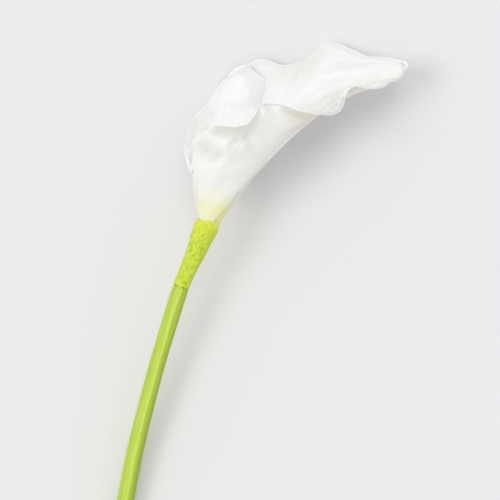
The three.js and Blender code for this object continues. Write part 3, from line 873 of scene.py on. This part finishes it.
def spathe_look():
    look = Look(
        "spathe_skin", Roughness=0.46, Specular_IOR_Level=0.35, Subsurface_Weight=0.3,
        Subsurface_Scale=0.0025, Subsurface_Radius=(1.0, 0.95, 0.75))
    place = look.place()
    sheet = look.sheet_place()
    inner, across = look.side()
    outer = look.maths("SUBTRACT", 1.0, inner)
    streaks = look.noise(look.stretched(sheet, (60, 2.5, 1)), 1.0, 4)
    cloud = look.noise(place, 60, 3)
    white = look.ramp(streaks, [(0.3, (0.86, 0.875, 0.845)), (0.62, (0.90, 0.91, 0.89))])
    white = look.mix(look.span(cloud, 0.35, 0.7, 0, 0.35), white, (0.87, 0.88, 0.885))
    # The outer side is warmer and duller all over.
    white = look.mix(look.times(outer, 0.5), white, (0.86, 0.855, 0.82))
    # Painted shade: warm brown where the back of the sheet turns away from the light.
    back_shade = look.times(outer, look.span(look.distance(place, BACK_PAINTED_SHADE), 0.026, 0.003))
    white = look.mix(look.times(back_shade, 0.6), white, (0.78, 0.66, 0.50))
    # Painted shade: warm brown on the outer underside of the second lobe, which faces away from the light.
    underside_shade = look.times(outer, look.span(look.distance(place, LOBE_UNDERSIDE), 0.018, 0.004))
    white = look.mix(look.times(underside_shade, 0.35), white, (0.80, 0.68, 0.60))
    # The base is flushed with pale yellow in soft patches, and more deeply on the inner layer.
    patches = look.times(look.noise(place, 190, 3), 0.008)
    reach = look.maths("ADD", look.distance(place, NECK), patches)
    flush = look.ramp(look.span(reach, 0.010, 0.036), [
        (0, (0.98, 0.99, 0.61)), (0.35, (0.99, 0.99, 0.86)), (0.7, (1, 1, 0.95)), (1, (1, 1, 1))])
    colour = look.mix(1.0, white, flush, "MULTIPLY")
    from_neck = look.distance(place, NECK)
    lower_layer = look.times(look.span(across, 0.27, 0.20), look.span(from_neck, 0.027, 0.006))
    colour = look.mix(look.times(lower_layer, outer), colour, (0.84, 0.83, 0.38))
    # Painted shade: a dark olive line along the outer margin's edge, where it laps over the inner layer
    # near the base.
    seam_shade = look.times(look.span(across, 0.985, 1.0), look.span(reach, 0.05, 0.02))
    colour = look.mix(look.times(seam_shade, 0.6), colour, (0.52, 0.50, 0.16))
    tip_reach = look.distance(place, TIP_PLACE)
    colour = look.mix(look.span(tip_reach, 0.022, 0.004, 0, 0.25), colour, (0.88, 0.89, 0.78))
    # Painted shade and light, spot by spot, with a few yellow tints of the flush at the base.
    for shade_turn, shade_height, turn_reach, height_reach, tint in PAINTED_SHADE_LIGHT_AND_TINTS:
        spot = look.spot(sheet, (shade_turn / 360, shade_height), (turn_reach / 360, height_reach))
        colour = look.mix(spot, colour, tint, "MULTIPLY")
    # Painted shade: a fine tan line runs up the outer side just inside the right outline, where the wall
    # turns away from the light.
    turn, height = look.parted(sheet)
    lean = look.maths("SUBTRACT", turn, look.times(height, CREASE_LEAN))
    crease_shade = look.ramp(lean, [(0.352, (0, 0, 0)), (0.369, (1, 1, 1)), (0.379, (0, 0, 0))])
    crease_shade = look.times(crease_shade, look.span(height, 0.10, 0.22))
    crease_shade = look.times(crease_shade, look.span(height, 0.80, 0.70))
    colour = look.mix(look.times(crease_shade, outer), colour, (0.80, 0.75, 0.66), "MULTIPLY")
    # The very edge of the rim is painted whiter, partly as a paler rim and partly as a painted highlight,
    # with a faint line of painted shade behind it under the raised edge.
    groove_shade = look.ramp(height, [(0.95, (0, 0, 0)), (0.972, (1, 1, 1)), (0.984, (0, 0, 0))])
    colour = look.mix(look.times(groove_shade, 0.5), colour, (0.90, 0.90, 0.87), "MULTIPLY")
    colour = look.mix(look.span(height, 0.984, 0.994, 0, 0.7), colour, (0.95, 0.95, 0.94))
    look.set("Base Color", colour)
    look.set("Roughness", look.span(streaks, 0.3, 0.7, 0.40, 0.52))
    fine = look.bump(look.noise(look.stretched(sheet, (150, 4, 1)), 1.0, 3), 0.10, 0.2)
    folds = look.bump(look.noise(place, 130, 2), 0.15, 0.5, fine)
    look.set("Normal", look.bump(look.noise(place, 1200, 2), 0.10, 0.08, folds))
    return look.material


def sleeve_look():
    look = Look("sleeve_skin", Roughness=0.55, Specular_IOR_Level=0.3, Subsurface_Weight=0.12,
                Subsurface_Scale=0.0015, Subsurface_Radius=(0.8, 1.0, 0.3))
    place = look.place()
    skin = look.sheet_place()
    streaks = look.noise(look.stretched(skin, (46, 34, 1)), 1.0, 5, 0.68)
    specks = look.noise(look.stretched(skin, (95, 70, 1)), 1.0, 3, 0.6)
    blotch = look.noise(place, 210, 3, 0.5)
    colour = look.ramp(streaks, [
        (0.38, (0.30, 0.47, 0.018)), (0.46, (0.50, 0.65, 0.03)), (0.54, (0.62, 0.73, 0.05)),
        (0.64, (0.74, 0.81, 0.12))])
    colour = look.mix(look.span(specks, 0.52, 0.72, 0, 0.55), colour, (0.31, 0.48, 0.02))
    colour = look.mix(look.span(blotch, 0.45, 0.7, 0, 0.5), colour, (0.70, 0.79, 0.11))
    top = look.distance(place, NECK)
    colour = look.mix(look.span(top, 0.016, 0.007, 0, 0.6), colour, (0.70, 0.77, 0.055))
    # Its top edge fades into the pale base of the spathe.
    ragged = look.maths("ADD", top, look.times(specks, 0.004))
    colour = look.mix(look.span(ragged, 0.0100, 0.0092, 0, 0.75), colour, (0.87, 0.89, 0.20))
    look.set("Base Color", colour)
    look.set("Roughness", look.span(streaks, 0.3, 0.7, 0.48, 0.62))
    fibres = look.bump(look.noise(look.stretched(skin, (55, 38, 1)), 1.0, 5, 0.65), 0.45, 0.3)
    look.set("Normal", look.bump(look.noise(place, 1100, 3), 0.25, 0.1, fibres))
    return look.material


def stem_look():
    look = Look("stem_skin", Roughness=0.3, Specular_IOR_Level=0.28, Subsurface_Weight=0.1,
                Subsurface_Scale=0.0015, Subsurface_Radius=(0.7, 1.0, 0.25))
    place = look.place()
    skin = look.sheet_place()
    around = look.parted(skin)[0]
    fibres = look.noise(look.stretched(skin, (46, 3.5, 1)), 1.0, 5, 0.6)
    colour = look.ramp(fibres, [
        (0.3, (0.37, 0.53, 0.035)), (0.55, (0.46, 0.62, 0.06)), (0.75, (0.53, 0.68, 0.10))])
    cloud = look.noise(place, 45, 3)
    colour = look.mix(look.span(cloud, 0.4, 0.7, 0, 0.4), colour, (0.46, 0.62, 0.055))
    # Painted highlight: a paler stripe runs along the top. Painted shade: the flank facing right is deeper
    # green.
    wander = look.times(look.noise(look.stretched(skin, (0, 2.2, 1)), 1.0, 2), 0.08)
    bent = look.maths("SUBTRACT", look.maths("ADD", around, wander), 0.04)
    highlight_stripe = look.ramp(bent, [
        (0.20, (0, 0, 0)), (0.225, (1, 1, 1)), (0.24, (1, 1, 1)), (0.27, (0.3, 0.3, 0.3)),
        (0.36, (0, 0, 0))])
    colour = look.mix(look.times(highlight_stripe, 0.85), colour, (0.63, 0.78, 0.15))
    # Painted shade on the flank facing right, deeper towards the cut end.
    shaded_flank = look.ramp(around, [(0.02, (1, 1, 1)), (0.19, (0, 0, 0)), (0.88, (0, 0, 0)), (0.98, (1, 1, 1))])
    towards_end = look.span(look.parted(place)[1], 0.05, -0.07, 0.45, 1.0)
    colour = look.mix(look.times(shaded_flank, towards_end), colour, (0.25, 0.37, 0.008))
    end = look.distance(place, STEM_LINE[0])
    cut = look.span(end, 0.0052, 0.0046)
    pores = look.noise(place, 2600, 2)
    face = look.ramp(pores, [(0.35, (0.55, 0.62, 0.28)), (0.6, (0.76, 0.80, 0.50))])
    colour = look.mix(cut, colour, face)
    look.set("Base Color", colour)
    look.set("Roughness", look.span(fibres, 0.3, 0.7, 0.28, 0.38))
    look.set("Normal", look.bump(look.noise(look.stretched(skin, (90, 7, 1)), 1.0, 4), 0.22, 0.12))
    return look.material


def spadix_look():
    look = Look("spadix_skin", Roughness=0.8, Specular_IOR_Level=0.25, Subsurface_Weight=0.15,
                Subsurface_Scale=0.0012, Subsurface_Radius=(1.0, 0.6, 0.15))
    place = look.place()
    grain = look.noise(place, 1100, 4, 0.6)
    look.set("Base Color", look.ramp(grain, [
        (0.3, (0.62, 0.33, 0.02)), (0.55, (0.86, 0.55, 0.05)), (0.75, (0.95, 0.74, 0.22))]))
    look.set("Normal", look.bump(look.noise(place, 2200, 3), 0.5, 0.1))
    return look.material


# ---------------------------------------------------------------- surface, light and camera

def build_stage():
    half = FLOOR_HALF
    corners = [(-half, -half, 0), (half, -half, 0), (half, half, 0), (-half, half, 0)]
    mesh = bpy.data.meshes.new("floor")
    mesh.from_pydata(corners, [], [(0, 1, 2, 3)])
    floor = bpy.data.objects.new("floor", mesh)
    bpy.context.scene.collection.objects.link(floor)
    look = Look("floor_paint", Base_Color=FLOOR_COLOUR, Roughness=0.9, Specular_IOR_Level=0.0)
    mesh.materials.append(look.material)


def add_sun(name, strength, spread, from_direction):
    light = bpy.data.lights.new(name, "SUN")
    light.energy = strength
    light.angle = math.radians(spread)
    sun = bpy.data.objects.new(name, light)
    sun.rotation_mode = "QUATERNION"
    sun.rotation_quaternion = Vector(from_direction).to_track_quat("Z", "Y")
    bpy.context.scene.collection.objects.link(sun)


def build_light():
    scene = bpy.context.scene
    world = bpy.data.worlds.new("studio")
    world.use_nodes = True
    world.node_tree.nodes["Background"].inputs["Color"].default_value = (1, 1, 1, 1)
    world.node_tree.nodes["Background"].inputs["Strength"].default_value = SKY_STRENGTH
    scene.world = world
    for name, (strength, spread, from_direction) in SUNS.items():
        add_sun(name, strength, spread, from_direction)
    scene.view_settings.view_transform = "Standard"


def build_camera():
    camera_data = bpy.data.cameras.new("camera")
    camera_data.lens = CAMERA_LENS
    camera_data.sensor_width = CAMERA_SENSOR
    camera = bpy.data.objects.new("camera", camera_data)
    camera.location = CAMERA_PLACE
    bpy.context.scene.collection.objects.link(camera)
    bpy.context.scene.camera = camera


# ---------------------------------------------------------------- the whole scene

PIECES = [
    (build_spathe, spathe_look), (build_sleeve, sleeve_look), (build_stem, stem_look),
    (build_spadix, spadix_look),
]
for build, look in PIECES:
    build().data.materials.append(look())
build_stage()
build_light()
build_camera()
